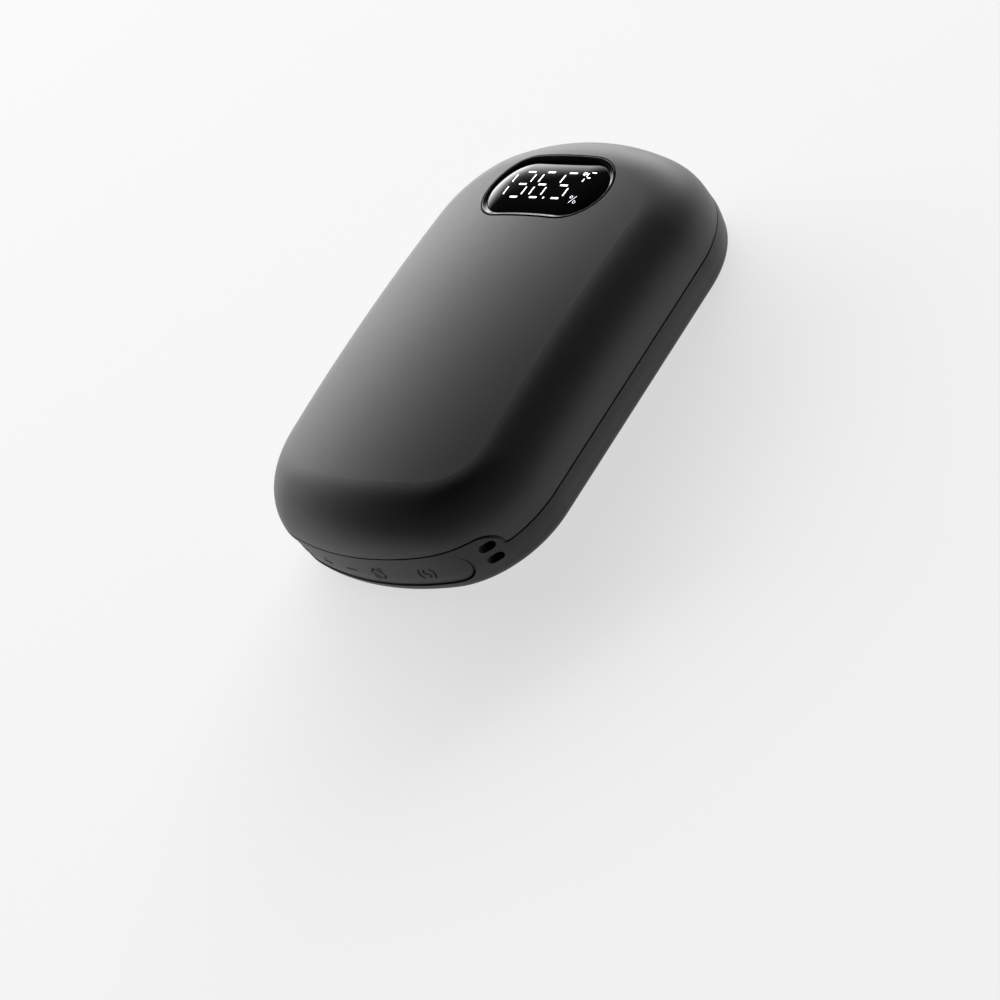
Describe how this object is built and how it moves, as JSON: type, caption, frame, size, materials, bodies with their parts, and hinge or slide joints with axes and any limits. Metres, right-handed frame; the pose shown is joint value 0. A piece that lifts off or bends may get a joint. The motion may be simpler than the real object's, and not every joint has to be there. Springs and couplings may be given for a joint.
{
  "type": "rechargeable hand warmer",
  "caption": "Pebble-shaped rechargeable hand warmer with a domed front, small display window, key strip, flat heating plate, lanyard holes and a charging port.",
  "frame": {"origin": "centre of the case's outline, on the flat outer face of the heating plate", "axes": "+Z out of the domed front, +Y along the length towards the display end, +X to the right when the front is seen with the display at the top"},
  "size_m": [0.061, 0.09, 0.0215],
  "materials": {
    "shell_plastic": "satin soft-touch coating, fine grain",
    "frame_plastic": "satin moulded plastic, fine grain",
    "plate_aluminium": "bead-blasted and anodised grey, satin",
    "key_rubber": "matt moulded silicone with sunk dark signs",
    "window_gloss": "polished black, dished",
    "lens_glass": "clear smoked window",
    "display_black": "moulded black",
    "display_light": "lit white diffuser",
    "board_laminate": "green solder mask",
    "chip_epoxy": "black moulded epoxy",
    "switch_black": "moulded black",
    "screw_steel": "plated steel",
    "port_steel": "drawn stainless steel",
    "bonding_tape": "pressure-sensitive foam tape",
    "film_amber": "amber polyimide film",
    "cell_pouch": "laminated foil pouch",
    "wire_red": "silicone insulation",
    "wire_black": "silicone insulation",
    "boot_rubber": "moulded rubber",
    "weight_metal": "sintered heavy metal"
  },
  "bodies": {
    "case": {"front_shell": "shell_plastic", "window_trim": "window_gloss", "display_lens": "lens_glass", "display_housing": "display_black", "display_segments": "display_light", "main_board": "board_laminate", "main_board_parts": "chip_epoxy", "main_board_screws": "screw_steel", "rear_frame": "frame_plastic", "case_screws": "screw_steel", "heat_plate": "plate_aluminium", "plate_adhesive": "bonding_tape", "heater_film": "film_amber", "temperature_sensor": "chip_epoxy", "charge_port_shell": "port_steel", "charge_port_tongue": "display_black", "charge_board": "board_laminate", "switch_bodies": "switch_black", "battery_cell": "cell_pouch", "battery_tape": "bonding_tape", "battery_guard_board": "board_laminate", "battery_lead_red": "wire_red", "battery_lead_black": "wire_black", "motor_can": "port_steel", "motor_boot": "boot_rubber", "key_board": "board_laminate"},
    "power_button": {"power_key": "key_rubber", "power_plunger": "switch_black"},
    "plus_button": {"plus_key": "key_rubber", "plus_plunger": "switch_black"},
    "minus_button": {"minus_key": "key_rubber", "minus_plunger": "switch_black"},
    "vibration_button": {"vibration_key": "key_rubber", "vibration_plunger": "switch_black"},
    "heat_button": {"heat_key": "key_rubber", "heat_plunger": "switch_black"},
    "vibration_rotor": {"motor_shaft": "screw_steel", "motor_weight": "weight_metal"}
  },
  "joints": [
    {"name": "power_press", "type": "slide", "parent": "case", "child": "power_button", "axis": [0, 1, 0], "range_m": [0, 0.0003], "stiffness_N_per_m": 1500},
    {"name": "plus_press", "type": "slide", "parent": "case", "child": "plus_button", "axis": [0, 1, 0], "range_m": [0, 0.0003], "stiffness_N_per_m": 1500},
    {"name": "minus_press", "type": "slide", "parent": "case", "child": "minus_button", "axis": [0, 1, 0], "range_m": [0, 0.0003], "stiffness_N_per_m": 1500},
    {"name": "vibration_press", "type": "slide", "parent": "case", "child": "vibration_button", "axis": [0, 1, 0], "range_m": [0, 0.0003], "stiffness_N_per_m": 1500},
    {"name": "heat_press", "type": "slide", "parent": "case", "child": "heat_button", "axis": [0, 1, 0], "range_m": [0, 0.0003], "stiffness_N_per_m": 1500},
    {"name": "vibration_spin", "type": "hinge", "parent": "case", "child": "vibration_rotor", "pos_m": [0.0251, -0.008, 0.0064], "axis": [0, 1, 0], "continuous": true}
  ]
}
